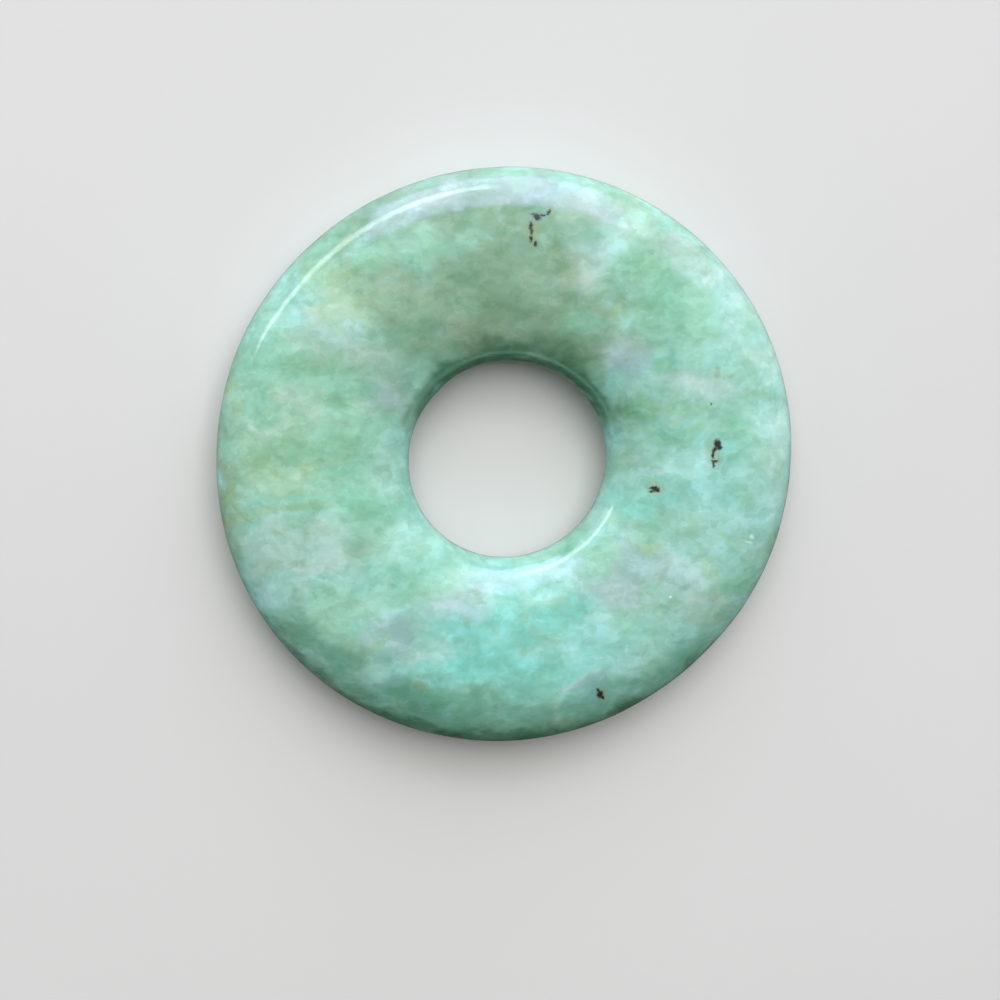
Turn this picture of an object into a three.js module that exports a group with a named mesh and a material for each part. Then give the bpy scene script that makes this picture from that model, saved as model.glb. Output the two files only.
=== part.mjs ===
// A small carved jade disc in the form of a bi: a round ring of jadeite, gently domed on both
// faces, with a round hole through its middle. It lies flat on its underside.
// Millimetres, +Z up, with the origin at the centre of the underside.

import * as THREE from "three";

// Driving dimensions
const OUTER_DIAMETER = 36.0;
const HOLE_DIAMETER = 12.3;
const THICKNESS = 5.5;
const LAND_WIDTH = 2.2; // the narrow flat crest that lapping leaves on the top of each dome

// Fineness of the facets
const STEPS_ROUND_THE_RING = 96;
const STEPS_OVER_THE_RIM = 18;
const STEPS_THROUGH_THE_HOLE = 16;

// Finish of the stone
const JADE_COLOUR = 0x9acdb4;
const JADE_ROUGHNESS = 0.28;

const OUTER_RADIUS = OUTER_DIAMETER / 2;
const HOLE_RADIUS = HOLE_DIAMETER / 2;
const HALF_THICKNESS = THICKNESS / 2;
const CREST_RADIUS = (OUTER_RADIUS + HOLE_RADIUS) / 2;

// Half of an ellipse in the section, as points of distance from the axis and height. It starts
// at startAngle and turns anticlockwise by half a turn, round a centre on the mid-plane.
function halfEllipse(centreRadius, reach, startAngle, steps) {
  const points = [];
  for (let step = 0; step <= steps; step += 1) {
    const angle = startAngle + (Math.PI * step) / steps;
    const fromAxis = centreRadius + reach * Math.cos(angle);
    const height = HALF_THICKNESS + HALF_THICKNESS * Math.sin(angle);
    points.push(new THREE.Vector2(fromAxis, height));
  }
  return points;
}

// The closed section of the ring: up over the outer rim, across the upper land, down through
// the hole and back across the lower land to the first point.
function ringSection() {
  const rimStart = CREST_RADIUS + LAND_WIDTH / 2;
  const holeStart = CREST_RADIUS - LAND_WIDTH / 2;
  const rim = halfEllipse(rimStart, OUTER_RADIUS - rimStart, -Math.PI / 2, STEPS_OVER_THE_RIM);
  const hole = halfEllipse(holeStart, holeStart - HOLE_RADIUS, Math.PI / 2, STEPS_THROUGH_THE_HOLE);
  return [...rim, ...hole, rim[0].clone()];
}

// The section turned about the upright axis. The lathe turns about Y, so the ring is then
// tipped to lie flat.
function makeDisc() {
  const geometry = new THREE.LatheGeometry(ringSection(), STEPS_ROUND_THE_RING);
  geometry.rotateX(Math.PI / 2);
  const jade = new THREE.MeshStandardMaterial({
    color: JADE_COLOUR,
    roughness: JADE_ROUGHNESS,
    metalness: 0,
  });
  const disc = new THREE.Mesh(geometry, jade);
  disc.name = "jade_disc";
  return disc;
}

const part = new THREE.Group();
part.add(makeDisc());

export default part;
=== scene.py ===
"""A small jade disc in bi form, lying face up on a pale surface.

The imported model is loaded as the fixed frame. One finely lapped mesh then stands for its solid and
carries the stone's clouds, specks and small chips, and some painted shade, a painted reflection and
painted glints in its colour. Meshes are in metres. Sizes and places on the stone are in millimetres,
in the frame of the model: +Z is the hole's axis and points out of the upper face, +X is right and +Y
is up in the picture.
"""

import logging
import math
from dataclasses import dataclass
from enum import Enum

import bpy
import numpy as np
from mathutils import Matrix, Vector


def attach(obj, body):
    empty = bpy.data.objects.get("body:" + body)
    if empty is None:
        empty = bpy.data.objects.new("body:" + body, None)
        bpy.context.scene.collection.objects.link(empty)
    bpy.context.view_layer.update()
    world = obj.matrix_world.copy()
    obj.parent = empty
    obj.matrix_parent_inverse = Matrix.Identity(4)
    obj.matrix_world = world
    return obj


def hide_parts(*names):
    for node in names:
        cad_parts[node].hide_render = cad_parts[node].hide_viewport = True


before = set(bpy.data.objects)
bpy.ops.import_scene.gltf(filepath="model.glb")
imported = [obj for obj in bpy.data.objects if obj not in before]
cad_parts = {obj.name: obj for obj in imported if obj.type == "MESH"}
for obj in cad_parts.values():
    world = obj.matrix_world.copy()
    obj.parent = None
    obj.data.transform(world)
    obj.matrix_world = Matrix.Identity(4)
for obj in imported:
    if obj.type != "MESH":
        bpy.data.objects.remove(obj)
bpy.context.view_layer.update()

LOG = logging.getLogger("jade_disc")

MM = 0.001
DIFFUSE_BOUNCES = 2  # keeps a full render short
ZONE_DEPTH = 2.6  # how far a cloud reaches up and down in the stone
ZONE_FALL = 0.7  # how fast a cloud fades outwards
UPPER = 5.4  # height of the clouds that show on the upper face


class Tint(Enum):
    """Colours of the stone, as linear red, green and blue, with painted shade and painted glints
    among them.
    """

    BASE = (0.335, 0.665, 0.565)
    JADE = (0.310, 0.620, 0.470)
    SAGE = (0.235, 0.400, 0.260)
    TEAL = (0.215, 0.655, 0.555)
    GREEN = (0.285, 0.605, 0.410)
    FERN = (0.290, 0.480, 0.330)
    MINT = (0.430, 0.740, 0.630)
    PALE = (0.435, 0.645, 0.560)
    LAVENDER = (0.410, 0.600, 0.580)
    OCHRE = (0.430, 0.640, 0.400)
    OLIVE = (0.320, 0.520, 0.280)
    # Painted shade: a darker green for the lower rim, which turns away from the light
    PAINTED_RIM_SHADE = (0.170, 0.430, 0.310)
    # Painted shade: a dark green for edges that turn away from the light
    PAINTED_EDGE_SHADE = (0.090, 0.250, 0.140)
    SHADE = (0.200, 0.390, 0.370)
    SPECK = (0.020, 0.020, 0.008)
    RUST = (0.300, 0.340, 0.120)
    # Painted glints: small white highlights
    PAINTED_GLINT = (0.620, 0.860, 0.780)


class Shift(Enum):
    """Changes of tone, as factors on linear red, green and blue."""

    DARK = (0.74, 0.81, 0.74)
    LIGHT = (1.30, 1.20, 1.31)
    WARM = (1.08, 0.98, 0.95)
    COOL = (0.93, 1.02, 1.05)
    DULL = (0.92, 0.946, 0.92)
    BRIGHT = (1.08, 1.054, 1.08)


class Edge(Enum):
    """The two rounded edges of the ring's section."""

    RIM = 1
    HOLE = -1


@dataclass(frozen=True)
class Zone:
    """A cloud of one colour in the stone, or a patch of painted shade or painted reflection.

    place and reach are the cloud's middle and half lengths in millimetres, turn its turn about the
    upright axis in degrees, and strength how much of its colour it gives, from 0 to 1.
    """

    tint: Tint
    place: tuple[float, float, float]
    reach: tuple[float, float]
    turn: float = 0.0
    strength: float = 1.0

    def weight(self, points: np.ndarray) -> np.ndarray:
        """A bell over the scaled distance d from the middle: strength * exp(-fall * d squared).

        Args:
            points: places in the stone, in millimetres, one row each.

        Returns:
            The cloud's share at each place.
        """
        turn = math.radians(self.turn)
        away = points - np.array(self.place)
        along = away[:, 0] * math.cos(turn) + away[:, 1] * math.sin(turn)
        across = away[:, 1] * math.cos(turn) - away[:, 0] * math.sin(turn)
        squared = (along / self.reach[0]) ** 2 + (across / self.reach[1]) ** 2
        squared += (away[:, 2] / ZONE_DEPTH) ** 2
        return self.strength * np.exp(-ZONE_FALL * squared)


@dataclass(frozen=True)
class Grain:
    """A small dark or pale mark on the upper face: an ellipse with a ragged edge.

    place and reach are its middle and its half lengths in millimetres, turn is in degrees.
    """

    place: tuple[float, float]
    reach: tuple[float, float]
    turn: float = 0.0


@dataclass(frozen=True)
class Chip:
    """A small break: where it is round the ring and in height, its half width and its depth."""

    around: float
    height: float
    edge: Edge
    reach: float
    depth: float


@dataclass(frozen=True)
class Flat:
    """A stretch where an edge is lapped in a little: its middle and half span in degrees."""

    around: float
    span: float
    edge: Edge
    depth: float


ZONES = (
    # Broad tones of the upper face, with painted shade on the lower rim and the hole's upper wall,
    # and a painted reflection under the top rim
    Zone(Tint.SAGE, (-1.5, 10.6, UPPER), (6.2, 4.2)),
    Zone(Tint.SAGE, (3.6, 8.2, UPPER), (2.8, 2.4), -40, 0.9),
    Zone(Tint.SAGE, (-6.6, 8.6, UPPER), (3.0, 2.2), 40, 0.5),
    Zone(Tint.SAGE, (-1.0, 16.0, 4.6), (6.5, 1.6), 0, 0.8),
    # Painted reflection: these three pale zones under the top rim stand in for part of the window's
    # highlight
    Zone(Tint.LAVENDER, (3.6, 16.4, 4.2), (2.8, 0.9), -12, 0.4),
    Zone(Tint.LAVENDER, (-1.4, 16.8, 4.2), (3.0, 0.9), 4, 0.4),
    Zone(Tint.LAVENDER, (-6.4, 15.6, 4.2), (2.8, 0.8), 22, 0.4),
    Zone(Tint.SAGE, (-9.0, 14.0, 4.6), (4.2, 1.2), 34, 0.6),
    Zone(Tint.SAGE, (0.6, 7.6, 4.2), (2.6, 0.9), 0, 0.7),
    Zone(Tint.FERN, (-9.0, 8.6, UPPER), (4.6, 4.0), 20, 0.6),
    Zone(Tint.FERN, (8.4, 13.9, 4.6), (3.6, 1.6), -32, 0.6),
    Zone(Tint.FERN, (-9.4, -11.2, UPPER), (2.6, 1.6), -40, 0.5),
    Zone(Tint.FERN, (-17.6, -2.0, 3.6), (0.7, 5.0), 0, 0.8),
    Zone(Tint.GREEN, (-12.5, 2.2, UPPER), (4.6, 5.6), 0, 0.85),
    Zone(Tint.PALE, (-11.6, -4.6, UPPER), (3.4, 1.6), 15, 0.5),
    Zone(Tint.GREEN, (9.0, 10.4, UPPER), (4.2, 2.2), -35, 0.5),
    Zone(Tint.TEAL, (-1.0, -12.0, UPPER), (7.0, 3.0), 0, 0.75),
    Zone(Tint.TEAL, (10.8, 1.2, UPPER), (4.2, 3.2), 0, 0.35),
    Zone(Tint.MINT, (16.4, 3.8, 4.2), (1.7, 5.0), 8, 0.9),
    Zone(Tint.PALE, (13.9, 10.2, 4.4), (1.8, 2.8), 38, 0.5),
    Zone(Tint.MINT, (-13.2, -4.4, 5.2), (3.0, 2.0), 20, 0.6),
    # Painted shade: a darker band along the lower rim, where it turns away from the light
    Zone(Tint.PAINTED_RIM_SHADE, (-11.6, -11.4, 4.9), (3.2, 1.1), -45, 0.7),
    Zone(Tint.PAINTED_RIM_SHADE, (-6.1, -14.8, 4.9), (3.2, 1.4), -22),
    Zone(Tint.PAINTED_RIM_SHADE, (0.0, -16.0, 4.9), (3.2, 1.4), 0),
    Zone(Tint.PAINTED_RIM_SHADE, (6.1, -14.9, 4.9), (3.2, 1.3), 22, 0.9),
    Zone(Tint.PAINTED_RIM_SHADE, (11.4, -12.0, 4.9), (2.8, 1.1), 44, 0.8),
    # Painted shade: darker still at the lower rim's edge
    Zone(Tint.PAINTED_EDGE_SHADE, (-12.7, -12.5, 3.6), (3.4, 0.7), -45, 0.65),
    Zone(Tint.PAINTED_EDGE_SHADE, (-6.7, -16.3, 3.8), (3.4, 0.8), -22, 0.9),
    Zone(Tint.PAINTED_EDGE_SHADE, (0.0, -17.6, 3.8), (3.4, 0.8), 0),
    Zone(Tint.PAINTED_EDGE_SHADE, (6.8, -16.6, 3.6), (3.4, 0.7), 22, 0.7),
    Zone(Tint.PAINTED_EDGE_SHADE, (12.8, -12.8, 3.6), (3.2, 0.6), 45, 0.7),
    Zone(Tint.PAINTED_EDGE_SHADE, (16.8, -6.7, 3.6), (2.6, 0.5), 68, 0.4),
    # Painted shade on the upper wall of the hole, which faces away from the light
    Zone(Tint.PAINTED_EDGE_SHADE, (0.0, 6.5, 2.9), (3.6, 0.9), 0),
    Zone(Tint.PAINTED_EDGE_SHADE, (4.7, 4.5, 2.9), (2.8, 0.8), -45),
    Zone(Tint.PAINTED_EDGE_SHADE, (-4.7, 4.5, 2.9), (2.8, 0.8), 45, 0.9),
    Zone(Tint.OCHRE, (-14.0, 2.6, UPPER), (3.0, 4.4), 0, 0.35),
    # Upper left
    Zone(Tint.GREEN, (-8.8, 12.6, 5.2), (1.3, 0.8), 30, 0.7),
    Zone(Tint.GREEN, (-5.0, 13.3, UPPER), (2.1, 0.8), 18, 0.7),
    Zone(Tint.GREEN, (-12.0, 11.7, 4.6), (0.9, 0.5), 45, 0.8),
    Zone(Tint.OCHRE, (-10.5, 10.4, UPPER), (2.0, 1.1), -35, 1.0),
    Zone(Tint.OCHRE, (-11.4, 9.4, UPPER), (0.9, 0.6), 0, 0.6),
    Zone(Tint.PALE, (-10.6, 8.2, UPPER), (2.0, 1.1), -15, 0.7),
    Zone(Tint.PALE, (-9.8, 7.4, UPPER), (1.6, 1.0), -10, 0.7),
    Zone(Tint.PALE, (-12.4, 8.7, UPPER), (1.3, 0.8), 30, 0.6),
    # Left
    Zone(Tint.GREEN, (-12.8, 6.9, UPPER), (1.3, 1.0), 10, 0.8),
    Zone(Tint.GREEN, (-10.2, 6.0, UPPER), (1.3, 0.8), -10, 0.8),
    Zone(Tint.MINT, (-14.3, 5.9, 5.2), (0.7, 0.6), 0, 0.6),
    Zone(Tint.PALE, (-13.2, 4.2, UPPER), (1.4, 0.8), 0, 0.7),
    Zone(Tint.OLIVE, (-17.0, 3.7, 4.0), (0.6, 1.5), -10, 0.8),
    Zone(Tint.MINT, (-14.9, 2.7, 5.2), (2.5, 0.5), 0, 0.7),
    Zone(Tint.LAVENDER, (-7.3, 4.6, 5.2), (1.2, 1.3), -20, 0.9),
    Zone(Tint.GREEN, (-10.8, 1.5, UPPER), (1.8, 0.8), 0, 0.5),
    Zone(Tint.OLIVE, (-17.5, -1.2, 3.8), (0.5, 2.0), 0, 0.8),
    Zone(Tint.OCHRE, (-14.2, -0.6, UPPER), (2.2, 1.3), 5, 0.9),
    Zone(Tint.MINT, (-7.3, -0.4, 4.8), (1.2, 1.2), 0, 0.7),
    Zone(Tint.GREEN, (-9.4, -2.1, UPPER), (1.5, 1.0), -20, 0.8),
    Zone(Tint.PALE, (-13.4, -4.2, UPPER), (2.2, 1.0), 0, 0.7),
    # Lower left
    Zone(Tint.MINT, (-7.2, -5.6, 5.1), (1.6, 1.5), -35, 0.5),
    Zone(Tint.PALE, (-10.9, -6.0, UPPER), (2.0, 0.8), -10, 0.7),
    Zone(Tint.GREEN, (-10.8, -8.9, UPPER), (1.9, 1.1), -25, 0.8),
    Zone(Tint.GREEN, (-9.6, -10.9, UPPER), (0.9, 0.4), 10, 0.9),
    Zone(Tint.LAVENDER, (-7.6, -10.4, UPPER), (1.2, 1.3), -20, 0.9),
    Zone(Tint.LAVENDER, (-3.9, -8.7, UPPER), (2.2, 1.0), 10, 0.7),
    Zone(Tint.PALE, (-5.4, -11.4, UPPER), (2.0, 1.0), 0, 0.6),
    Zone(Tint.GREEN, (-1.5, -7.4, 4.6), (3.6, 0.7), 0, 0.4),
    # Bottom
    Zone(Tint.TEAL, (0.8, -10.4, UPPER), (2.8, 1.4), 8, 0.9),
    Zone(Tint.MINT, (3.4, -11.4, UPPER), (1.8, 1.2), 0, 0.6),
    Zone(Tint.MINT, (-0.8, -9.6, UPPER), (1.0, 0.5), 0, 0.3),
    Zone(Tint.TEAL, (4.6, -8.9, UPPER), (1.2, 0.5), 30, 0.7),
    Zone(Tint.LAVENDER, (4.9, -13.4, UPPER), (1.5, 0.5), 15, 0.4),
    Zone(Tint.PALE, (4.2, -13.1, UPPER), (1.0, 0.25), 22, 0.7),
    Zone(Tint.GREEN, (3.0, -14.2, 5.1), (1.8, 0.7), 12, 0.4),
    Zone(Tint.GREEN, (-3.5, -14.8, 5.2), (2.6, 0.8), -8, 0.7),
    # Lower right
    Zone(Tint.LAVENDER, (7.0, -6.9, UPPER), (2.6, 1.7), 15, 0.9),
    Zone(Tint.PALE, (9.8, -7.2, UPPER), (1.7, 1.6), 20, 0.8),
    Zone(Tint.OCHRE, (8.5, -5.0, UPPER), (0.5, 0.5), 0, 0.9),
    Zone(Tint.PALE, (11.9, -9.2, 5.2), (1.8, 1.4), 40, 0.6),
    Zone(Tint.OCHRE, (12.4, -7.2, UPPER), (0.8, 0.5), -20, 0.6),
    Zone(Tint.GREEN, (14.6, -7.9, 4.7), (0.8, 0.5), 0, 0.7),
    Zone(Tint.GREEN, (12.9, -10.1, 4.8), (0.9, 0.5), 40, 0.7),
    Zone(Tint.TEAL, (7.6, -3.0, 5.2), (1.6, 0.8), 12, 0.45),
    Zone(Tint.PALE, (14.9, -4.0, 5.2), (0.9, 1.6), 0, 0.4),
    Zone(Tint.GREEN, (14.0, -4.6, UPPER), (1.4, 0.3), 5, 0.8),
    # Right
    Zone(Tint.MINT, (10.6, 0.0, UPPER), (1.4, 1.2), 0, 0.5),
    Zone(Tint.LAVENDER, (8.0, 0.2, 5.1), (0.9, 1.1), 0, 0.5),
    Zone(Tint.GREEN, (13.9, 2.2, UPPER), (1.0, 1.2), 25, 0.9),
    Zone(Tint.GREEN, (11.6, 2.0, UPPER), (0.6, 0.9), 0, 0.9),
    Zone(Tint.GREEN, (6.7, 3.1, 4.5), (1.1, 0.35), 8, 0.8),
    Zone(Tint.GREEN, (9.6, 3.5, UPPER), (2.6, 0.32), 6, 0.9),
    Zone(Tint.PALE, (11.2, 5.0, UPPER), (1.9, 0.9), 0, 0.8),
    Zone(Tint.GREEN, (9.1, 5.9, UPPER), (0.9, 0.8), 0, 0.8),
    Zone(Tint.LAVENDER, (6.7, 6.7, 5.2), (1.3, 1.1), -20, 0.9),
    # Upper right
    Zone(Tint.GREEN, (10.2, 9.4, UPPER), (1.9, 0.8), -8, 0.9),
    Zone(Tint.OLIVE, (6.0, 9.6, UPPER), (1.0, 0.7), 0, 0.6),
    Zone(Tint.PALE, (11.2, 12.2, 4.8), (2.0, 0.9), -42, 0.8),
    Zone(Tint.LAVENDER, (9.6, 13.6, 4.6), (1.0, 0.5), -38, 0.6),
    Zone(Tint.GREEN, (7.5, 12.2, UPPER), (1.3, 0.9), -25, 0.9),
    Zone(Tint.PALE, (4.6, 12.8, UPPER), (1.3, 1.6), 0, 0.8),
    Zone(Tint.PALE, (6.4, 14.2, 5.1), (1.3, 0.8), -30, 0.7),
    Zone(Tint.GREEN, (3.6, 8.2, UPPER), (1.5, 0.8), 0, 0.6),
    # Underside, plainer
    Zone(Tint.SAGE, (-4.0, 10.0, 0.1), (5.5, 3.4), 0, 0.8),
    Zone(Tint.PALE, (5.4, 11.2, 0.1), (2.6, 1.6), -25, 0.8),
    Zone(Tint.GREEN, (11.6, 5.2, 0.1), (2.4, 2.0), 60, 0.8),
    Zone(Tint.PALE, (12.4, -3.6, 0.1), (1.8, 2.8), 10, 0.7),
    Zone(Tint.TEAL, (3.6, -11.6, 0.1), (4.0, 2.0), 12, 0.8),
    Zone(Tint.LAVENDER, (-10.2, -7.6, 0.1), (1.6, 2.2), -40, 0.8),
    Zone(Tint.MINT, (-12.6, -1.0, 0.1), (2.0, 2.6), 0, 0.6),
    Zone(Tint.OCHRE, (-13.4, 4.2, 0.1), (1.4, 1.6), 0, 0.7),
)

SPECKS = (
    # Branching cluster near the top
    Grain((1.20, 15.13), (0.24, 0.17), -35),
    Grain((1.55, 15.22), (0.19, 0.06), 8),
    Grain((1.92, 15.40), (0.17, 0.09), 50),
    Grain((0.93, 15.30), (0.16, 0.05), 10),
    Grain((0.82, 14.60), (0.10, 0.24), -8),
    Grain((0.86, 14.26), (0.09, 0.18), 5),
    Grain((0.82, 13.84), (0.09, 0.17), 0),
    Grain((1.08, 13.56), (0.08, 0.16), -8),
    # Hooked cluster at the right
    Grain((12.60, 1.30), (0.20, 0.27), 10),
    Grain((12.72, 1.08), (0.16, 0.15), 0),
    Grain((12.42, 0.95), (0.10, 0.22), -25),
    Grain((12.33, 0.62), (0.09, 0.22), -6),
    Grain((12.45, 0.22), (0.20, 0.07), 5),
    Grain((12.38, 0.02), (0.07, 0.18), 10),
    # Single speck near the hole
    Grain((8.82, -1.50), (0.19, 0.16), 0),
    Grain((8.99, -1.60), (0.11, 0.12), 0),
    Grain((8.60, -1.44), (0.14, 0.07), 20),
    Grain((8.58, -1.68), (0.09, 0.08), 0),
    # Speck low on the face
    Grain((5.66, -14.52), (0.19, 0.24), 15),
    Grain((5.85, -14.75), (0.13, 0.09), -40),
    Grain((5.52, -14.22), (0.08, 0.16), 35),
    # Faint freckle at the upper right
    Grain((12.14, 3.78), (0.09, 0.04), 35),
)

SMUDGES = (
    Grain((12.25, 0.80), (0.30, 0.62), 8),
    Grain((12.62, 0.20), (0.22, 0.20), 5),
    Grain((8.80, -1.50), (0.40, 0.34), 0),
    Grain((12.46, 5.60), (0.13, 0.17), 5),
    Grain((12.50, 5.98), (0.14, 0.09), 0),
    Grain((13.38, 5.48), (0.17, 0.10), 0),
    Grain((12.90, 5.35), (0.08, 0.06), 0),
    Grain((0.95, 14.30), (0.30, 0.70), 0),
    Grain((5.75, -14.60), (0.30, 0.34), 15),
    Grain((6.79, 6.49), (0.10, 0.08), 0),
    Grain((-5.60, -13.60), (0.35, 0.20), -20),
)

SHADOWS = (
    Grain((5.62, -14.25), (0.55, 0.62), 0),
    Grain((4.80, -13.60), (0.90, 0.24), 28),
    Grain((7.00, 6.10), (0.75, 0.45), -10),
    Grain((-6.90, -10.10), (0.50, 0.75), 25),
    Grain((-7.60, -11.60), (0.60, 0.40), 0),
    Grain((1.20, 15.15), (0.55, 0.30), 15),
    Grain((8.00, 2.65), (0.26, 0.12), -10),
    Grain((-7.20, -13.20), (0.45, 0.30), 10),
)

# Painted glints: small white highlights on the lower right of the face
PAINTED_GLINTS = (
    Grain((15.07, -4.67), (0.10, 0.18), 50),
    Grain((14.92, -5.00), (0.05, 0.20), 75),
    Grain((9.92, -8.28), (0.07, 0.05), 30),
)

CHIPS = (
    Chip(-39.2, 3.60, Edge.RIM, 0.52, 0.20),
    Chip(-40.9, 3.10, Edge.RIM, 0.32, 0.15),
    Chip(-37.6, 3.60, Edge.RIM, 0.22, 0.08),
    Chip(-24.5, 2.40, Edge.HOLE, 0.24, 0.10),
    Chip(-28.0, 2.55, Edge.HOLE, 0.32, 0.14),
    Chip(-31.5, 2.35, Edge.HOLE, 0.28, 0.12),
    Chip(-35.0, 2.50, Edge.HOLE, 0.30, 0.11),
    Chip(-39.5, 2.40, Edge.HOLE, 0.20, 0.07),
)

FLATS = (
    Flat(-52.0, 15.0, Edge.RIM, 0.10),
    Flat(180.0, 14.0, Edge.RIM, 0.07),
    Flat(112.0, 12.0, Edge.HOLE, 0.05),
)


def bell(distance: np.ndarray) -> np.ndarray:
    """A smooth hump, (1 - d squared) squared, that is 1 at distance 0 and 0 from 1 outwards.

    Args:
        distance: scaled distances.

    Returns:
        The hump's height at each distance.
    """
    return np.square(np.clip(1.0 - np.square(distance), 0.0, None))


def ripples(points: np.ndarray, wavelength: float, count: int, seed: int) -> np.ndarray:
    """Plane waves of random direction and phase, added up: an even, cloudy field.

    Args:
        points: places in millimetres, one row each, with any number of coordinates.
        wavelength: the middle wavelength in millimetres; the waves' own run from 0.6 to 1.7 of it.
        count: how many waves.
        seed: start of the random draws.

    Returns:
        The field at each place, mostly between -1 and 1.
    """
    draw = np.random.default_rng(seed)
    ways = draw.normal(size=(count, points.shape[1]))
    ways /= np.linalg.norm(ways, axis=1, keepdims=True)
    lengths = wavelength * np.exp(draw.uniform(-0.5, 0.5, count))
    phases = draw.uniform(0.0, 2.0 * math.pi, count)
    waves = np.sin(points @ (ways / lengths[:, None]).T * 2.0 * math.pi + phases)
    return waves.sum(axis=1) / math.sqrt(count)


@dataclass
class JadeDisc:
    """The ring of jade, as one closed, finely lapped surface.

    The driving sizes are those of the solid that it stands for, in millimetres.
    """

    outer_radius: float = 18.0
    hole_radius: float = 6.15
    thickness: float = 5.5
    land_width: float = 2.2
    columns: int = 660
    rim_rows: int = 60
    hole_rows: int = 54
    land_rows: int = 5
    crowding: float = 0.45
    crowded_at: float = -34.0
    lapping_depth: float = 0.028
    stroke_depth: float = 0.023
    piece_name: str = "lapped_jade_disc"

    def section(self) -> np.ndarray:
        """The ring's closed section.

        Two half ellipses, of reach (outer radius - hole radius - land) / 2 and of half the
        thickness, are joined by the flat lands on the crests.

        Returns:
            Rows of distance from the axis and height, in millimetres.
        """
        crest = (self.outer_radius + self.hole_radius) / 2
        half_land = self.land_width / 2
        reach = (self.outer_radius - self.hole_radius) / 2 - half_land
        half = self.thickness / 2
        rim = np.linspace(-math.pi / 2, math.pi / 2, self.rim_rows, endpoint=False)
        hole = np.linspace(math.pi / 2, 1.5 * math.pi, self.hole_rows, endpoint=False)
        inward = np.linspace(crest + half_land, crest - half_land, self.land_rows, endpoint=False)
        outward = np.linspace(crest - half_land, crest + half_land, self.land_rows, endpoint=False)
        stretches = (
            (crest + half_land + reach * np.cos(rim), half + half * np.sin(rim)),
            (inward, np.full_like(inward, self.thickness)),
            (crest - half_land + reach * np.cos(hole), half + half * np.sin(hole)),
            (outward, np.zeros_like(outward)),
        )
        return np.concatenate([np.stack(stretch, axis=1) for stretch in stretches])

    def grid(self) -> tuple[np.ndarray, np.ndarray, np.ndarray]:
        """The smooth ring before lapping.

        The columns' angle is t - crowding * sin(t - t0), so that they stand closer about t0,
        where the chips are. The section's normal is its tangent turned by a right angle.

        Returns:
            Places in millimetres, outward normals, and the angle round the ring, in columns * rows.
        """
        section = self.section()
        tangent = np.roll(section, -1, axis=0) - np.roll(section, 1, axis=0)
        tangent /= np.linalg.norm(tangent, axis=1, keepdims=True)
        even = np.linspace(0.0, 2.0 * math.pi, self.columns, endpoint=False)
        around = even - self.crowding * np.sin(even - math.radians(self.crowded_at))
        cosine, sine = np.cos(around)[:, None], np.sin(around)[:, None]
        upright = np.ones_like(cosine)
        places = (section[:, 0] * cosine, section[:, 0] * sine, section[:, 1] * upright)
        normals = (tangent[:, 1] * cosine, tangent[:, 1] * sine, -tangent[:, 0] * upright)
        angles = np.repeat(around, len(section))
        return (
            np.stack(places, axis=2).reshape(-1, 3),
            np.stack(normals, axis=2).reshape(-1, 3),
            angles,
        )

    def strokes(self, angles: np.ndarray) -> np.ndarray:
        """The lapping tool's long, shallow strokes round the ring: ripples over four coordinates.

        Two are a circle as long as the section, for the way across, and two are a circle of a sixth
        of the crest's radius, for the way round, so that a stroke is six times as long as wide.

        Args:
            angles: the angle round the ring at each place.

        Returns:
            The field at each place, mostly between -1 and 1.
        """
        section = self.section()
        steps = np.linalg.norm(np.roll(section, -1, axis=0) - section, axis=1)
        across = np.tile(np.cumsum(steps) / steps.sum() * 2.0 * math.pi, self.columns)
        section_radius = steps.sum() / (2.0 * math.pi)
        round_radius = (self.outer_radius + self.hole_radius) / 12
        places = np.stack((
            section_radius * np.cos(across), section_radius * np.sin(across),
            round_radius * np.cos(angles), round_radius * np.sin(angles),
        ), axis=1)
        return ripples(places, 1.5, 40, 14)

    def hollows(self, points: np.ndarray, normals: np.ndarray, angles: np.ndarray) -> np.ndarray:
        """How deep the surface lies under the smooth ring, in millimetres, never less than 0.

        Lapping leaves a shallow unevenness and strokes, flats take a little off an edge, and chips
        are humps bent by short ripples. Nothing is taken off where the disc rests.

        Args:
            points: places on the smooth ring.
            normals: its outward normals.
            angles: the angle round the ring at each place.

        Returns:
            The depth at each place.
        """
        uneven = 0.6 * ripples(points, 7.0, 18, 11) + 0.4 * ripples(points, 3.2, 24, 12)
        depth = self.lapping_depth * (0.5 + 0.5 * np.tanh(uneven))
        depth += self.stroke_depth * (0.5 + 0.5 * np.tanh(self.strokes(angles)))
        from_axis = np.hypot(points[:, 0], points[:, 1])
        facing = (normals[:, 0] * points[:, 0] + normals[:, 1] * points[:, 1]) / from_axis
        for flat in FLATS:
            turn = np.angle(np.exp(1j * (angles - math.radians(flat.around))))
            share = np.clip(facing * flat.edge.value, 0.0, 1.0)
            depth += flat.depth * share * bell(turn / math.radians(2.0 * flat.span))
        ragged = 1.0 + 0.35 * ripples(points, 0.45, 24, 13)
        for chip in CHIPS:
            radius = self.outer_radius if chip.edge is Edge.RIM else self.hole_radius
            around = math.radians(chip.around)
            middle = (radius * math.cos(around), radius * math.sin(around), chip.height)
            away = np.linalg.norm(points - np.array(middle), axis=1)
            depth = np.maximum(depth, chip.depth * bell(away / chip.reach * ragged))
        rests = bell(points[:, 2] / 0.5)
        return depth * (1.0 - rests)

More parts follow.
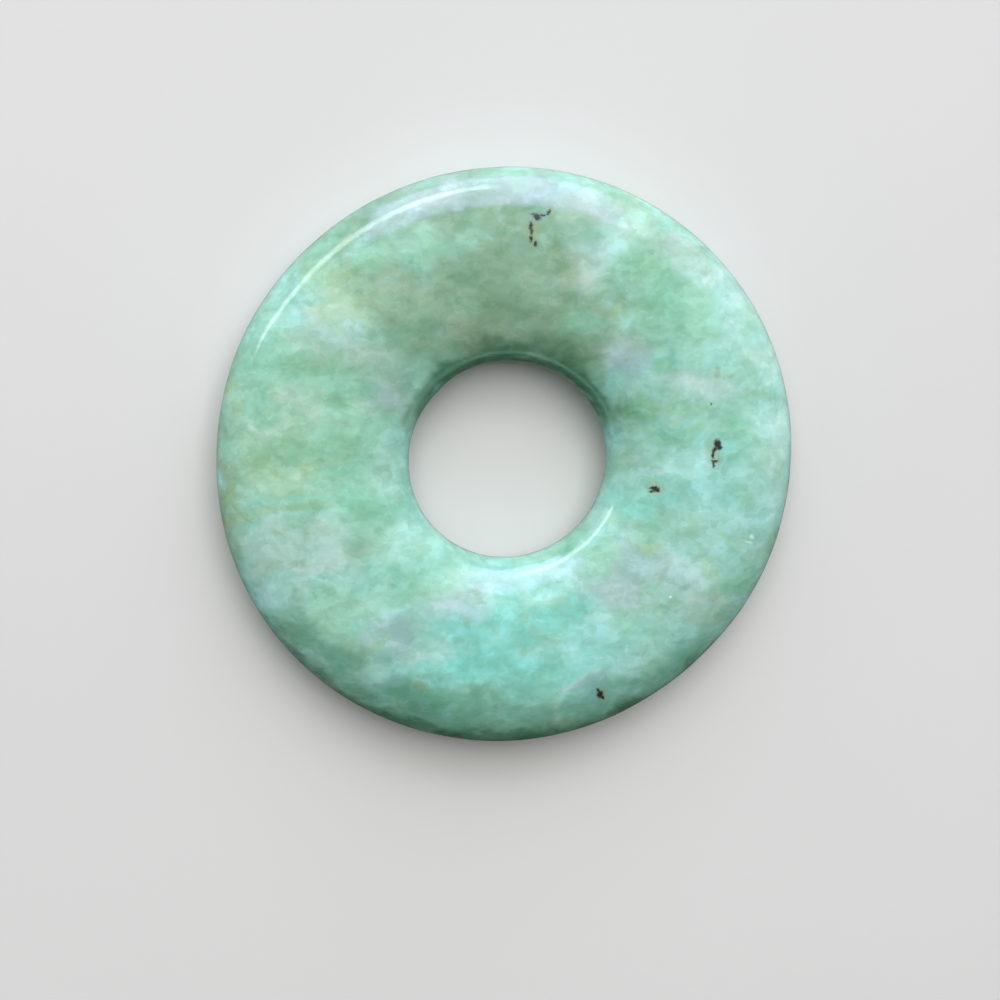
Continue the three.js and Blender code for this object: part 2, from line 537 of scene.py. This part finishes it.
    def clouds(self, points: np.ndarray) -> dict[str, np.ndarray]:
        """Each colour's share in the stone: 1 less the product of what its clouds leave.

        The clouds are looked up at places that are moved by ripples, so that no edge is smooth.

        Args:
            points: places on the surface, in millimetres.

        Returns:
            Shares from 0 to 1 by attribute name.
        """
        moved = points.copy()
        for axis in range(3):
            moved[:, axis] += 0.42 * ripples(points, 3.0, 20, 21 + axis)
            moved[:, axis] += 0.17 * ripples(points, 1.1, 28, 31 + axis)
        shares = {}
        for zone in ZONES:
            name = cloud_attribute(zone.tint)
            left = shares.get(name, np.ones(len(points)))
            shares[name] = left * (1.0 - zone.weight(moved))
        return {name: 1.0 - left for name, left in shares.items()}

    def build(self) -> bpy.types.Object:
        """Makes the mesh, writes the clouds' shares on it and lays it in the frame.

        Returns:
            The disc, at the origin, standing for the solid.
        """
        points, normals, angles = self.grid()
        places = points - normals * self.hollows(points, normals, angles)[:, None]
        mesh = bpy.data.meshes.new(self.piece_name)
        rows = len(self.section())
        fill_closed_grid(mesh, places * MM, self.columns, rows)
        for name, share in self.clouds(points).items():
            layer = mesh.attributes.new(name, "FLOAT", "POINT")
            layer.data.foreach_set("value", share.astype(np.float32))
        disc = bpy.data.objects.new(self.piece_name, mesh)
        bpy.context.scene.collection.objects.link(disc)
        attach(disc, "root")
        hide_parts("jade_disc")
        return disc

    def dress(self, disc: bpy.types.Object, finish: "JadeFinish") -> None:
        """Gives the disc its stone.

        Args:
            disc: the mesh object from build.
            finish: the stone's finish.
        """
        disc.data.materials.append(finish.material())


def cloud_attribute(tint: Tint) -> str:
    """Names the mesh attribute that holds a colour's share.

    Args:
        tint: the colour.

    Returns:
        The attribute's name.
    """
    return f"cloud_{tint.name.lower()}"


def fill_closed_grid(mesh: bpy.types.Mesh, places: np.ndarray, columns: int, rows: int) -> None:
    """Fills a mesh with a grid that closes on itself both ways, with smooth faces.

    Args:
        mesh: an empty mesh.
        places: vertices in metres, row by row within each column.
        columns: how many columns.
        rows: how many rows in each column.
    """
    index = np.arange(columns * rows).reshape(columns, rows)
    beside = np.roll(index, -1, axis=0)
    faces = np.stack(
        (index, beside, np.roll(beside, -1, axis=1), np.roll(index, -1, axis=1)), axis=2
    ).reshape(-1)
    count = columns * rows
    mesh.vertices.add(count)
    mesh.vertices.foreach_set("co", places.astype(np.float32).reshape(-1))
    mesh.loops.add(4 * count)
    mesh.loops.foreach_set("vertex_index", faces.astype(np.int32))
    mesh.polygons.add(count)
    mesh.polygons.foreach_set("loop_start", np.arange(0, 4 * count, 4, dtype=np.int32))
    mesh.polygons.foreach_set("use_smooth", np.ones(count, dtype=bool))
    mesh.update()
    mesh.validate()


class Graph:
    """Adds nodes to one shader tree and joins them."""

    def __init__(self, tree: bpy.types.NodeTree) -> None:
        """Takes the tree to work in.

        Args:
            tree: a node tree of a material, a world or a group.
        """
        self.tree = tree

    def add(self, kind: str, inputs: dict | None = None, **settings: object) -> bpy.types.Node:
        """Adds a node.

        Args:
            kind: Blender's name of the node type, less its ShaderNode prefix.
            inputs: by socket name or number, either a value or a socket to join from.
            settings: the node's own properties.

        Returns:
            The new node.
        """
        node = self.tree.nodes.new("ShaderNode" + kind)
        for name, value in settings.items():
            setattr(node, name, value)
        for name, value in (inputs or {}).items():
            socket = node.inputs[name]
            if isinstance(value, bpy.types.NodeSocket):
                self.tree.links.new(value, socket)
            else:
                socket.default_value = value
        return node

    def noise(self, place: bpy.types.NodeSocket, scale: float, detail: float = 3.0,
              roughness: float = 0.5) -> bpy.types.Node:
        """Adds a noise texture.

        Args:
            place: places in millimetres.
            scale: features a millimetre.
            detail: how many finer octaves are added.
            roughness: how strong each octave is beside the one before.

        Returns:
            The noise node.
        """
        inputs = {"Vector": place, "Scale": scale, "Detail": detail, "Roughness": roughness}
        return self.add("TexNoise", inputs)

    def stretched(self, place: bpy.types.NodeSocket, scale: tuple[float, float, float],
                  turn: float = 0.0) -> bpy.types.NodeSocket:
        """Turns and scales places.

        Args:
            place: the places.
            scale: factors along the three axes.
            turn: the turn about the upright axis, in degrees.

        Returns:
            The new places.
        """
        inputs = {"Vector": place, "Rotation": (0.0, 0.0, math.radians(turn)), "Scale": scale}
        return self.add("Mapping", inputs).outputs["Vector"]

    def vector(self, operation: str, first: object, second: object) -> bpy.types.NodeSocket:
        """Works out one operation on two vectors.

        Args:
            operation: Blender's name of the operation.
            first: a vector or a socket.
            second: a vector or a socket.

        Returns:
            The resulting vector.
        """
        return self.add("VectorMath", {0: first, 1: second}, operation=operation).outputs["Vector"]

    def dot(self, first: object, second: object) -> bpy.types.NodeSocket:
        """Works out the dot product of two vectors.

        Args:
            first: a vector or a socket.
            second: a vector or a socket.

        Returns:
            The product, as a number.
        """
        return self.add("VectorMath", {0: first, 1: second}, operation="DOT_PRODUCT").outputs["Value"]

    def pushed(self, place: bpy.types.NodeSocket, noise: bpy.types.Node,
               reach: float) -> bpy.types.NodeSocket:
        """Moves places each way by reach times a noise's colour less one half.

        Args:
            place: the places.
            noise: the noise node.
            reach: the whole width of the movement, in millimetres.

        Returns:
            The moved places.
        """
        centred = self.vector("SUBTRACT", noise.outputs["Color"], (0.5,) * 3)
        inputs = {0: centred, 1: (reach,) * 3, 2: place}
        return self.add("VectorMath", inputs, operation="MULTIPLY_ADD").outputs["Vector"]

    def math(self, operation: str, first: object, second: object = 0.0,
             clamp: bool = False) -> bpy.types.NodeSocket:
        """Works out one operation on two numbers.

        Args:
            operation: Blender's name of the operation.
            first: a number or a socket.
            second: a number or a socket.
            clamp: whether the result is kept between 0 and 1.

        Returns:
            The result.
        """
        node = self.add("Math", {0: first, 1: second}, operation=operation, use_clamp=clamp)
        return node.outputs["Value"]

    def step(self, value: bpy.types.NodeSocket, low: float, high: float,
             bottom: float = 0.0, top: float = 1.0) -> bpy.types.NodeSocket:
        """Makes a smooth step of a value.

        Args:
            value: the value.
            low: where the step starts.
            high: where it ends.
            bottom: the result below low.
            top: the result above high.

        Returns:
            The stepped value.
        """
        inputs = {"Value": value, "From Min": low, "From Max": high, "To Min": bottom, "To Max": top}
        return self.add("MapRange", inputs, interpolation_type="SMOOTHSTEP").outputs["Result"]

    def ramp(self, value: bpy.types.NodeSocket, low: float, high: float) -> bpy.types.NodeSocket:
        """Makes a straight ramp of a value.

        Args:
            value: the value.
            low: where the result is 0.
            high: where it is 1.

        Returns:
            The ramp, kept between 0 and 1.
        """
        inputs = {"Value": value, "From Min": low, "From Max": high}
        return self.add("MapRange", inputs).outputs["Result"]

    def mix(self, share: object, under: object, over: object,
            blend: str = "MIX") -> bpy.types.NodeSocket:
        """Mixes two colours. A colour is a socket, a Tint, a Shift or four numbers.

        Args:
            share: how much of the upper colour shows, as a number or a socket.
            under: the lower colour.
            over: the upper colour.
            blend: Blender's name of the way of mixing.

        Returns:
            The mixed colour.
        """
        node = self.add("Mix", data_type="RGBA", blend_type=blend)
        factor = next(s for s in node.inputs if s.name == "Factor" and s.type == "VALUE")
        under_socket, over_socket = [s for s in node.inputs if s.type == "RGBA"][:2]
        for socket, value in ((factor, share), (under_socket, under), (over_socket, over)):
            if isinstance(value, bpy.types.NodeSocket):
                self.tree.links.new(value, socket)
            elif isinstance(value, (Tint, Shift)):
                socket.default_value = (*value.value, 1.0)
            else:
                socket.default_value = value
        return next(s for s in node.outputs if s.type == "RGBA")

    def product(self, colours: list[bpy.types.NodeSocket]) -> bpy.types.NodeSocket:
        """Multiplies several tones together.

        Args:
            colours: the tones.

        Returns:
            Their product.
        """
        result = colours[0]
        for colour in colours[1:]:
            result = self.mix(1.0, result, colour, "MULTIPLY")
        return result

    def smallest(self, values: list[bpy.types.NodeSocket]) -> bpy.types.NodeSocket:
        """Finds the smallest of several numbers.

        Args:
            values: the numbers.

        Returns:
            The smallest.
        """
        least = values[0]
        for value in values[1:]:
            least = self.math("MINIMUM", least, value)
        return least


def outline_group() -> bpy.types.NodeTree:
    """The node group that measures how far a place is from one mark.

    With a = (place - middle) dot Along and b = (place - middle) dot Across, where Along and Across
    are the mark's own axes over its half lengths, Value is a a + b b, which is 1 on the outline.

    Returns:
        The group, with inputs Place, Middle, Along and Across and the output Value.
    """
    name = "mark outline"
    if name in bpy.data.node_groups:
        return bpy.data.node_groups[name]
    tree = bpy.data.node_groups.new(name, "ShaderNodeTree")
    for socket in ("Place", "Middle", "Along", "Across"):
        tree.interface.new_socket(socket, in_out="INPUT", socket_type="NodeSocketVector")
    tree.interface.new_socket("Value", in_out="OUTPUT", socket_type="NodeSocketFloat")
    graph = Graph(tree)
    ends = tree.nodes.new("NodeGroupInput").outputs
    away = graph.vector("SUBTRACT", ends["Place"], ends["Middle"])
    along = graph.dot(away, ends["Along"])
    across = graph.dot(away, ends["Across"])
    squared = graph.math("ADD", graph.math("MULTIPLY", along, along),
                         graph.math("MULTIPLY", across, across))
    out = tree.nodes.new("NodeGroupOutput")
    tree.links.new(squared, out.inputs["Value"])
    return tree


@dataclass(frozen=True)
class Cloud:
    """How one colour of the stone shows: its tint and how strongly it covers what lies under it."""

    tint: Tint
    cover: float


@dataclass(frozen=True)
class JadeFinish:
    """Polished jadeite: clouded, sugary and a little translucent."""

    name: str = "clouded jadeite"
    roughness: float = 0.07
    refraction: float = 1.66
    glow: float = 0.35
    glow_depth: float = 0.9
    flake_sizes: tuple[float, ...] = (0.95, 0.50)
    pebbling: float = 0.011
    wear: float = 0.10
    pit_dullness: float = 0.4
    patchiness: float = 1.3
    vein_cover: float = 0.6
    clouds: tuple[Cloud, ...] = (
        Cloud(Tint.SAGE, 0.95),
        Cloud(Tint.TEAL, 0.85),
        Cloud(Tint.GREEN, 0.85),
        Cloud(Tint.FERN, 0.85),
        Cloud(Tint.MINT, 0.80),
        Cloud(Tint.PALE, 0.80),
        Cloud(Tint.LAVENDER, 0.85),
        Cloud(Tint.OCHRE, 0.60),
        Cloud(Tint.OLIVE, 0.60),
        # The next two are painted shade
        Cloud(Tint.PAINTED_RIM_SHADE, 0.85),
        Cloud(Tint.PAINTED_EDGE_SHADE, 0.85),
    )

    def material(self) -> bpy.types.Material:
        """Builds the node material.

        Returns:
            The finished material.
        """
        material = bpy.data.materials.new(self.name)
        material.use_nodes = True
        material.node_tree.nodes.clear()
        graph = Graph(material.node_tree)
        place = graph.stretched(graph.add("TexCoord").outputs["Object"], (1 / MM,) * 3)
        marks = self.marks(graph, place)
        shader = graph.add("BsdfPrincipled", {
            "Base Color": self.colour(graph, place, marks),
            "Roughness": self.polish(graph, place, marks),
            "Normal": self.relief(graph, place),
            "IOR": self.refraction,
            "Subsurface Weight": self.glow,
            "Subsurface Radius": (0.7, 1.0, 0.85),
            "Subsurface Scale": self.glow_depth * MM,
        }, subsurface_method="BURLEY")
        out = graph.add("OutputMaterial")
        graph.tree.links.new(shader.outputs["BSDF"], out.inputs["Surface"])
        return material

    def marks(self, graph: Graph, place: bpy.types.NodeSocket) -> dict[str, bpy.types.NodeSocket]:
        """Masks of the specks, their rusty smudges, grey shadows and painted glints, which are small
        white highlights.

        Args:
            graph: the material's graph.
            place: places in millimetres.

        Returns:
            The masks by name. All stay on the upper half of the disc.
        """
        ragged = graph.pushed(place, graph.noise(place, 8.0, 2.0, 0.65), 0.30)
        height = graph.add("SeparateXYZ", {0: place}).outputs["Z"]
        upper = graph.step(height, 1.6, 2.6)
        kinds = {
            "specks": (SPECKS, 0.50),
            "smudges": (SMUDGES, 0.95),
            "shadows": (SHADOWS, 0.95),
            # Painted glints: small white highlights
            "painted_glints": (PAINTED_GLINTS, 0.60),
        }
        masks = {}
        for name, (grains, softness) in kinds.items():
            drawn = self.drawn(graph, ragged, grains, softness)
            masks[name] = graph.math("MULTIPLY", drawn, upper)
        return masks

    def drawn(self, graph: Graph, place: bpy.types.NodeSocket, grains: tuple[Grain, ...],
              softness: float) -> bpy.types.NodeSocket:
        """The mask of several grains, from the scaled distance to the nearest one.

        Args:
            graph: the material's graph.
            place: places in millimetres.
            grains: the marks to draw.
            softness: how far from its outline a mark fades, as a share of its size.

        Returns:
            The mask socket.
        """
        nearest = graph.smallest([self.squared(graph, place, grain) for grain in grains])
        return graph.step(nearest, (1.0 - softness) ** 2, (1.0 + softness) ** 2, 1.0, 0.0)

    def squared(self, graph: Graph, place: bpy.types.NodeSocket,
                grain: Grain) -> bpy.types.NodeSocket:
        """Measures the scaled distance from a grain's middle, squared.

        Args:
            graph: the material's graph.
            place: places in millimetres.
            grain: the mark.

        Returns:
            The squared distance, which is 1 on the mark's outline.
        """
        turn = math.radians(grain.turn)
        long, short = grain.reach
        group = graph.add("Group", node_tree=outline_group())
        graph.tree.links.new(place, group.inputs["Place"])
        group.inputs["Middle"].default_value = (*grain.place, 0.0)
        group.inputs["Along"].default_value = (math.cos(turn) / long, math.sin(turn) / long, 0.0)
        group.inputs["Across"].default_value = (-math.sin(turn) / short, math.cos(turn) / short, 0.0)
        return group.outputs["Value"]

    def colour(self, graph: Graph, place: bpy.types.NodeSocket,
               marks: dict[str, bpy.types.NodeSocket]) -> bpy.types.NodeSocket:
        """The stone's colour: placed clouds, some of them painted shade or a painted reflection, then
        a mottling that lightens and darkens, then marks, the last of them painted glints.

        Args:
            graph: the material's graph.
            place: places in millimetres.
            marks: masks from marks.

        Returns:
            The colour socket.
        """
        bent = graph.pushed(place, graph.noise(place, 0.5, 2.0), 1.4)
        drift = graph.noise(graph.stretched(bent, (0.85, 1.15, 1.0)), 0.34, 3.0, 0.68)
        drifts = graph.add("SeparateColor", {0: drift.outputs["Color"]}).outputs
        broad = graph.noise(bent, 0.22, 2.0).outputs["Fac"]
        colour = graph.mix(graph.step(broad, 0.38, 0.62), Tint.BASE, Tint.JADE)
        centred = graph.math("SUBTRACT", drifts["Green"], 0.5)
        uneven = graph.math("MULTIPLY", centred, self.patchiness)
        for cloud in self.clouds:
            name = cloud_attribute(cloud.tint)
            share = graph.add("Attribute", attribute_name=name, attribute_type="GEOMETRY")
            mask = graph.step(graph.math("ADD", share.outputs["Fac"], uneven), 0.10, 0.82, 0.0,
                              cloud.cover)
            colour = graph.mix(mask, colour, cloud.tint)
        colour = graph.mix(self.vein(graph, place), colour, Tint.OLIVE)
        tone = graph.mix(graph.ramp(drifts["Red"], 0.30, 0.70), Shift.DARK, Shift.LIGHT)
        colour = graph.mix(1.0, colour, tone, "MULTIPLY")
        hue = graph.mix(graph.ramp(drifts["Blue"], 0.32, 0.68), Shift.WARM, Shift.COOL)
        colour = graph.mix(1.0, colour, hue, "MULTIPLY")
        colour = graph.mix(1.0, colour, self.painted_glint(graph, place), "MULTIPLY")
        # The last marks are painted glints: small white highlights
        for name, tint, cover in (("smudges", Tint.RUST, 0.35), ("shadows", Tint.SHADE, 0.45),
                                  ("specks", Tint.SPECK, 1.0), ("painted_glints", Tint.PAINTED_GLINT, 0.9)):
            colour = graph.mix(graph.math("MULTIPLY", marks[name], cover), colour, tint)
        return colour

    def painted_glint(self, graph: Graph, place: bpy.types.NodeSocket) -> bpy.types.NodeSocket:
        """The tone of the interlocked crystal grains: large and small flakes with frayed edges.

        Args:
            graph: the material's graph.
            place: places in millimetres.

        Returns:
            A tone to multiply the colour by.
        """
        frayed = graph.pushed(place, graph.noise(place, 2.2, 2.0), 0.55)
        drawn_out = graph.stretched(frayed, (0.85, 1.2, 1.0))
        layers = []
        for size in self.flake_sizes:
            flakes = graph.add("TexVoronoi", {"Vector": drawn_out, "Scale": 1.0 / size})
            parts = graph.add("SeparateColor", {0: flakes.outputs["Color"]}).outputs
            layers.append(graph.mix(parts["Red"], Shift.DULL, Shift.BRIGHT))
        return graph.product(layers)

    def vein(self, graph: Graph, place: bpy.types.NodeSocket) -> bpy.types.NodeSocket:
        """The healed olive vein that runs in from the left rim, as a thin slanted band.

        Args:
            graph: the material's graph.
            place: places in millimetres.

        Returns:
            The vein's mask.
        """
        shaken = graph.pushed(place, graph.noise(place, 1.6, 2.0, 0.7), 0.5)
        parts = (Grain((-16.6, -3.1), (1.7, 0.30), 22.0), Grain((-13.6, -2.3), (2.2, 0.18), 4.0))
        drawn = self.drawn(graph, shaken, parts, 0.9)
        return graph.math("MULTIPLY", drawn, self.vein_cover)

    def polish(self, graph: Graph, place: bpy.types.NodeSocket,
               marks: dict[str, bpy.types.NodeSocket]) -> bpy.types.NodeSocket:
        """The roughness: a high polish that is duller in patches and in the specks' pits.

        Args:
            graph: the material's graph.
            place: places in millimetres.
            marks: masks from marks.

        Returns:
            The roughness socket.
        """
        wear = graph.noise(place, 0.7, 2.0, 0.7).outputs["Fac"]
        polish = graph.step(wear, 0.4, 0.7, self.roughness, self.roughness + self.wear)
        pits = graph.math("MULTIPLY", marks["specks"], self.pit_dullness)
        return graph.math("ADD", polish, pits, clamp=True)

    def relief(self, graph: Graph, place: bpy.types.NodeSocket) -> bpy.types.NodeSocket:
        """The normal: a faint pebbling under the polish.

        Args:
            graph: the material's graph.
            place: places in millimetres.

        Returns:
            The normal socket.
        """
        pebbles = graph.noise(place, 1.9, 3.0, 0.60).outputs["Fac"]
        bump = graph.add("Bump", {"Height": pebbles, "Distance": self.pebbling * MM})
        return bump.outputs["Normal"]


@dataclass(frozen=True)
class FloorFinish:
    """A matt pale surface with a barely visible unevenness of tone."""

    name: str = "pale surface"
    light: tuple[float, float, float] = (0.76, 0.75, 0.73)
    dark: tuple[float, float, float] = (0.70, 0.69, 0.67)
    roughness: float = 0.8

    def material(self) -> bpy.types.Material:
        """Builds the node material.

        Returns:
            The finished material.
        """
        material = bpy.data.materials.new(self.name)
        material.use_nodes = True
        material.node_tree.nodes.clear()
        graph = Graph(material.node_tree)
        place = graph.stretched(graph.add("TexCoord").outputs["Object"], (1 / MM,) * 3)
        tone = graph.noise(place, 0.02, 2.0).outputs["Fac"]
        colour = graph.mix(tone, (*self.dark, 1.0), (*self.light, 1.0))
        shader = graph.add("BsdfPrincipled", {"Base Color": colour, "Roughness": self.roughness})
        out = graph.add("OutputMaterial")
        graph.tree.links.new(shader.outputs["BSDF"], out.inputs["Surface"])
        return material


@dataclass
class Floor:
    """The flat pale surface that the disc lies on."""

    half_width: float = 2.5

    def build(self) -> bpy.types.Object:
        """Makes the floor, which the polish doesn't mirror.

        Returns:
            The floor's object.
        """
        corners = np.array([(-1, -1, 0), (1, -1, 0), (1, 1, 0), (-1, 1, 0)]) * self.half_width
        mesh = bpy.data.meshes.new("floor")
        mesh.from_pydata(corners.tolist(), [], [(0, 1, 2, 3)])
        floor = bpy.data.objects.new("floor", mesh)
        bpy.context.scene.collection.objects.link(floor)
        floor.visible_glossy = False
        return floor

    def dress(self, floor: bpy.types.Object, finish: FloorFinish) -> None:
        """Gives the floor its surface.

        Args:
            floor: the mesh object from build.
            finish: the floor's finish.
        """
        floor.data.materials.append(finish.material())


class Rays(Enum):
    """What a lamp gives: light and a mirror image, light alone, or a mirror image alone."""

    ALL = "all"
    MATT = "matt"
    MIRRORED = "mirrored"


@dataclass(frozen=True)
class Softbox:
    """A rectangular lamp that faces the disc.

    azimuth is counted from +X to +Y and elevation from the floor, in degrees. Sizes are in metres,
    and radiance is how bright the lamp's face is.
    """

    name: str
    azimuth: float
    elevation: float
    width: float
    height: float
    radiance: float
    colour: tuple[float, float, float]
    distance: float = 0.6
    rays: Rays = Rays.ALL

    def build(self, target: Vector) -> bpy.types.Object:
        """Makes the lamp.

        Args:
            target: the point that it faces.

        Returns:
            The lamp's object.
        """
        around, up = math.radians(self.azimuth), math.radians(self.elevation)
        way = Vector((math.cos(around) * math.cos(up), math.sin(around) * math.cos(up), math.sin(up)))
        lamp = bpy.data.lights.new(self.name, "AREA")
        lamp.shape = "RECTANGLE"
        lamp.size, lamp.size_y = self.width, self.height
        lamp.energy = self.radiance * math.pi * self.width * self.height
        lamp.color = self.colour
        holder = bpy.data.objects.new(self.name, lamp)
        holder.location = target + way * self.distance
        holder.rotation_mode = "QUATERNION"
        holder.rotation_quaternion = way.to_track_quat("Z", "Y")
        holder.visible_camera = False
        holder.visible_diffuse = self.rays is not Rays.MIRRORED
        holder.visible_glossy = self.rays is not Rays.MATT
        bpy.context.scene.collection.objects.link(holder)
        return holder


@dataclass(frozen=True)
class Surroundings:
    """The room's own light: pale on the window side and dim on the far side."""

    seen: tuple[float, float, float] = (0.72, 0.72, 0.71)
    window_side: tuple[float, float, float] = (0.60, 0.62, 0.64)
    far_side: tuple[float, float, float] = (0.03, 0.02, 0.01)

    def build(self) -> None:
        """Sets the scene's world."""
        world = bpy.data.worlds.new("room")
        bpy.context.scene.world = world
        world.use_nodes = True
        world.node_tree.nodes.clear()
        graph = Graph(world.node_tree)
        way = graph.add("TexCoord").outputs["Generated"]
        side = graph.step(graph.dot(way, (0.0, 1.0, 0.0)), -0.8, 0.8)
        light = graph.mix(side, (*self.far_side, 1.0), (*self.window_side, 1.0))
        looked_at = graph.add("LightPath").outputs["Is Camera Ray"]
        colour = graph.mix(looked_at, light, (*self.seen, 1.0))
        background = graph.add("Background", {"Color": colour, "Strength": 1.0})
        out = graph.add("OutputWorld")
        graph.tree.links.new(background.outputs["Background"], out.inputs["Surface"])


@dataclass(frozen=True)
class PictureCamera:
    """A camera at the picture's viewing angle.

    It looks down on the disc from tilt degrees off the hole's axis, towards azimuth. The disc's
    middle shows at middle_px of a picture picture_px wide, where a pixel is pixel_size metres.
    """

    distance: float = 0.1463
    tilt: float = 13.0
    azimuth: float = 131.0
    middle_px: tuple[float, float] = (507.8, 459.8)
    picture_px: float = 1000.0
    pixel_size: float = 0.036 / 582.0
    sensor: float = 36.0

    def build(self, target: Vector) -> bpy.types.Object:
        """Makes the camera and gives it to the scene.

        Args:
            target: the disc's middle.

        Returns:
            The camera's object.
        """
        tilt, around = math.radians(self.tilt), math.radians(self.azimuth)
        way = Vector((
            math.sin(tilt) * math.cos(around), math.sin(tilt) * math.sin(around), math.cos(tilt),
        ))
        level = Vector((0.0, 0.0, 1.0)).rotation_difference(way)
        right, up = level @ Vector((1.0, 0.0, 0.0)), level @ Vector((0.0, 1.0, 0.0))
        half = self.picture_px / 2
        aside = (half - self.middle_px[0]) * self.pixel_size
        above = (self.middle_px[1] - half) * self.pixel_size
        place = target + way * self.distance
        aim = target + right * aside + up * above
        data = bpy.data.cameras.new("picture camera")
        data.sensor_width = self.sensor
        data.lens = self.sensor * self.distance / (self.picture_px * self.pixel_size)
        data.clip_start, data.clip_end = 0.005, 20.0
        camera = bpy.data.objects.new("picture camera", data)
        camera.location = place
        camera.rotation_mode = "QUATERNION"
        swing = way.rotation_difference((place - aim).normalized())
        camera.rotation_quaternion = swing @ level
        bpy.context.scene.collection.objects.link(camera)
        bpy.context.scene.camera = camera
        return camera


LAMPS = (
    Softbox("soft overhead", 90.0, 60.0, 0.50, 0.50, 3.5, (1.0, 1.0, 0.98), rays=Rays.MATT),
    Softbox("sky window", 84.0, 25.0, 0.76, 0.56, 1.3, (0.92, 0.98, 1.14)),
    Softbox("sky sheen", 88.0, 24.0, 0.72, 0.72, 2.3, (0.50, 0.28, 1.12), 0.65, Rays.MIRRORED),
    Softbox("bright gap", 123.0, 25.0, 0.90, 0.11, 4.4, (0.92, 1.0, 0.98), 0.65, Rays.MIRRORED),
)


def main() -> None:
    """Builds the disc, the floor, the lamps and the camera, in that order."""
    logging.basicConfig(level=logging.INFO, format="%(message)s")
    disc_maker = JadeDisc()
    disc = disc_maker.build()
    disc_maker.dress(disc, JadeFinish())
    LOG.info("%s: %d vertices", disc.name, len(disc.data.vertices))
    floor_maker = Floor()
    floor = floor_maker.build()
    floor_maker.dress(floor, FloorFinish())
    LOG.info("%s: ready", floor.name)
    middle = Vector((0.0, 0.0, disc_maker.thickness / 2 * MM))
    for lamp in LAMPS:
        LOG.info("%s: ready", lamp.build(middle).name)
    Surroundings().build()
    LOG.info("%s: ready", PictureCamera().build(middle).name)
    bpy.context.scene.view_settings.view_transform = "Standard"
    bpy.context.scene.cycles.diffuse_bounces = DIFFUSE_BOUNCES


if __name__ == "__main__":
    main()
